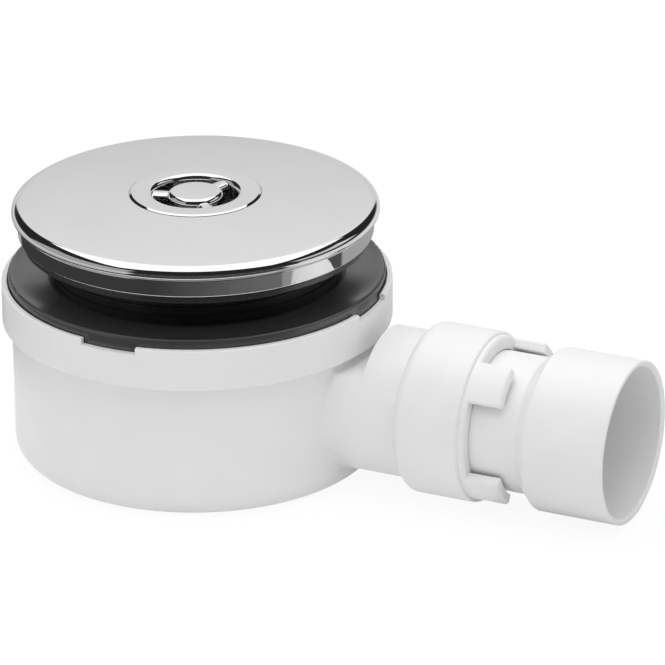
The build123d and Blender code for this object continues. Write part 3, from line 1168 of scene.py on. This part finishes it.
@dataclass
class Studio:
    """Floor, lights, reflections and camera.

    Attributes:
        azimuth: Camera's turn about the trap's axis from the front, in degrees.
        elevation: Camera's height above the horizon, in degrees.
        roll: Camera's roll, in degrees.
        distance: Camera's distance from its target.
        aim: Target's place across and up in the camera's view.
        lens: Camera's focal length.
        sensor: Width of the camera's sensor.
        clip: Nearest and farthest distance that the camera shows.
        floor_side: Length of the floor's sides.
        floor_shade: Share of the light that the floor sends back.
        floor_white: Brightness of the plain white that the camera sees in the floor.
        floor_share: Share of that white; the rest keeps the shadow.
        box_height: Height of the overhead softbox above the floor.
        box_half_width: Half of the softbox's width.
        box_front: How far the softbox reaches in front of the trap's axis.
        box_back: How far it reaches behind.
        face_front: How far the part of it that polished metal shows reaches in front.
        box_power: Power of the softbox, in watts.
        box_level: Brightness of the softbox where polished metal shows it.
        sky: Brightness of the soft light all round, at the horizon and overhead.
        backdrop: Brightness of the white that the camera sees behind the floor.
        dim: Brightness between the cards that polished metal shows.
        card_reach: Inner, middle and outer radius of the floor's two rings of card.
        card_lift: Height of these rings above the floor.
        card_parts: How many parts their edges have.
    """

    azimuth: float = 25.55
    elevation: float = 23.25
    roll: float = -0.5
    distance: float = 1703.72
    aim: Pair = (41.2, 33.18)
    lens: float = 298.31
    sensor: float = 36.0
    clip: Pair = (50.0, 50000.0)
    floor_side: float = 30000.0
    floor_shade: float = 0.95
    floor_white: float = 1.02
    floor_share: float = 0.9
    box_height: float = 900.0
    box_half_width: float = 500.0
    box_front: float = 650.0
    box_back: float = 850.0
    face_front: float = 200.0
    box_power: float = 5.0
    box_level: float = 1.3
    sky: Pair = (0.62, 1.0)
    backdrop: float = 1.0
    dim: float = 0.025
    card_reach: tuple[float, float, float] = (105.0, 235.0, 8000.0)
    card_lift: float = 0.5
    card_parts: int = 96

    def axes(self) -> tuple[Vector, Vector, Vector]:
        """Gives the camera's own directions.

        Returns:
            The unit vectors to the right, up and back towards the camera, before its roll.
        """
        turn = math.radians(self.azimuth)
        tilt = math.radians(self.elevation)
        back = Vector((math.sin(turn) * math.cos(tilt), -math.cos(turn) * math.cos(tilt), math.sin(tilt)))
        right = Vector((math.cos(turn), math.sin(turn), 0.0))
        return right, back.cross(right), back

    def place_camera(self) -> None:
        """Sets the camera where the photograph was taken from."""
        right, up, back = self.axes()
        target = right * self.aim[0] + up * self.aim[1]
        roll = math.radians(self.roll)
        across = math.cos(roll) * right + math.sin(roll) * up
        upright = -math.sin(roll) * right + math.cos(roll) * up
        camera_data = bpy.data.cameras.new("camera")
        camera_data.sensor_width = self.sensor
        camera_data.lens = self.lens
        camera_data.clip_start = self.clip[0] * MM
        camera_data.clip_end = self.clip[1] * MM
        camera = bpy.data.objects.new("camera", camera_data)
        bpy.context.scene.collection.objects.link(camera)
        turn = Matrix((across, upright, back)).transposed().to_4x4()
        camera.matrix_world = Matrix.Translation((target + back * self.distance) * MM) @ turn
        bpy.context.scene.camera = camera

    def show_cards(self, board: NodeBoard, way: Socket, cards: tuple[Card, ...]) -> Socket:
        """Lays out the brightness of cards that stand round the trap.

        Args:
            board: The board to lay them out on.
            way: A direction's or place's socket.
            cards: The cards.

        Returns:
            The brightness's socket.
        """
        right, _, back = self.axes()
        front = Vector((back.x, back.y, 0.0)).normalized()
        turn = board.math("ARCTAN2", board.along(way, right), board.along(way, front))
        turn = board.math("MULTIPLY", turn, TO_DEGREES)
        height = board.math("ARCSINE", board.along(board.unit(way), UP))
        height = board.math("MULTIPLY", height, TO_DEGREES)
        total = cards[0].level(board, turn, height)
        for card in cards[1:]:
            total = board.math("MAXIMUM", total, card.level(board, turn, height))
        return total

    def lay_floor(self) -> None:
        """Lays the white floor, which keeps a faint shadow."""
        floor = lay_sheet("floor", self.floor_side * MM)
        material, board = new_material("white floor")
        path = board.add("ShaderNodeLightPath")
        seen = board.math("MAXIMUM", path.outputs["Is Camera Ray"], path.outputs["Is Glossy Ray"])
        seen = board.math("MAXIMUM", seen, path.outputs["Is Transmission Ray"])
        share = board.math("MULTIPLY", seen, self.floor_share)
        matt = board.add("ShaderNodeBsdfDiffuse")
        matt.inputs["Color"].default_value = (self.floor_shade, self.floor_shade, self.floor_shade, 1.0)
        board.end(board.mix(share, matt.outputs["BSDF"], board.glow(self.floor_white)))
        floor.data.materials.append(material)

    @staticmethod
    def only_reflect(sheet: Piece) -> None:
        """Hides a sheet from everything but reflections.

        Args:
            sheet: The sheet.
        """
        sheet.visible_camera = False
        sheet.visible_diffuse = False
        sheet.visible_transmission = False
        sheet.visible_shadow = False

    def lay_card(self, name: str, inner: float, outer: float, cards: tuple[Card, ...]) -> None:
        """Lays a ring of grey card round the trap that only reflections show.

        Args:
            name: Name of the ring.
            inner: Its inner radius.
            outer: Its outer radius.
            cards: Its brightness all round.
        """
        bpy.ops.object.select_all(action="DESELECT")
        bpy.ops.mesh.primitive_circle_add(vertices=self.card_parts, radius=inner * MM, location=ORIGIN)
        sheet = bpy.context.object
        sheet.name = name
        edit_all()
        bpy.ops.mesh.extrude_edges_move()
        bpy.ops.transform.resize(value=(outer / inner, outer / inner, 1.0))
        bpy.ops.mesh.select_all(action="SELECT")
        bpy.ops.transform.translate(value=(0.0, 0.0, self.card_lift * MM))
        bpy.ops.object.mode_set(mode="OBJECT")
        material, board = new_material(name)
        place = board.add("ShaderNodeTexCoord").outputs["Object"]
        board.end(board.glow(self.show_cards(board, place, cards)))
        sheet.data.materials.append(material)
        self.only_reflect(sheet)

    def hang_softbox(self) -> None:
        """Hangs the overhead softbox, square to the camera's view."""
        right, _, back = self.axes()
        away = Vector((-back.x, -back.y, 0.0)).normalized()
        turn = Matrix((right, away, UP)).transposed().to_4x4()
        middle = away * (self.box_back - self.box_front) / 2.0 + UP * self.box_height
        lamp = bpy.data.lights.new("overhead softbox", "AREA")
        lamp.shape = "RECTANGLE"
        lamp.size = 2.0 * self.box_half_width * MM
        lamp.size_y = (self.box_front + self.box_back) * MM
        lamp.energy = self.box_power
        box = bpy.data.objects.new("overhead softbox", lamp)
        bpy.context.scene.collection.objects.link(box)
        box.matrix_world = Matrix.Translation(middle * MM) @ turn
        box.visible_glossy = False
        shift = away * (self.box_front - self.face_front) / 2.0
        self.hang_face(Matrix.Translation((middle + shift) * MM) @ turn)

    def hang_face(self, place: Matrix) -> None:
        """Hangs the softbox's face, which only reflections show.

        Args:
            place: Its place and turn.
        """
        face = lay_sheet("softbox face")
        edit_all()
        width = 2.0 * self.box_half_width * MM
        bpy.ops.transform.resize(value=(width, (self.face_front + self.box_back) * MM, 1.0))
        bpy.ops.object.mode_set(mode="OBJECT")
        face.matrix_world = place
        material, board = new_material("softbox face")
        board.end(board.glow(self.box_level))
        face.data.materials.append(material)
        self.only_reflect(face)

    def light_world(self) -> None:
        """Sets the even light, the white that the camera sees, and the studio that polished metal shows."""
        world = bpy.data.worlds.new("studio")
        bpy.context.scene.world = world
        world.use_nodes = True
        board = NodeBoard(world.node_tree)
        kind = "ShaderNodeBackground"
        way = board.add("ShaderNodeTexCoord").outputs["Generated"]
        path = board.add("ShaderNodeLightPath")
        metal = board.glow(board.math("ADD", self.show_cards(board, way, ROUND_ABOUT), self.dim), kind)
        even = board.glow(board.ramp(board.along(way, UP), (0.0, 1.0), self.sky), kind)
        light = board.mix(path.outputs["Is Glossy Ray"], even, metal)
        direct = board.math("MAXIMUM", path.outputs["Is Camera Ray"], path.outputs["Is Transmission Ray"])
        board.end(board.mix(direct, light, board.glow(self.backdrop, kind)), "ShaderNodeOutputWorld")

    def build(self) -> None:
        """Sets up the whole studio."""
        bpy.context.scene.view_settings.view_transform = "Standard"
        self.place_camera()
        self.lay_floor()
        near, middle, far = self.card_reach
        self.lay_card("near floor card", near, middle, NEAR_FLOOR)
        self.lay_card("far floor card", middle, far, FAR_FLOOR)
        self.hang_softbox()
        self.light_world()


def main() -> None:
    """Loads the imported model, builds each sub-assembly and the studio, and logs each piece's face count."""
    logging.basicConfig(level=logging.INFO, format="%(name)s: %(message)s")
    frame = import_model()
    nodes = frame["nodes"]
    for group in (CoverSet(nodes), TrayClamp(nodes), CupSet(nodes), OutletSet(nodes)):
        for piece in group.build():
            log.info("%s: %s, %d faces", type(group).__name__, piece.name, len(piece.data.polygons))
    Studio().build()


if __name__ == "__main__":
    main()
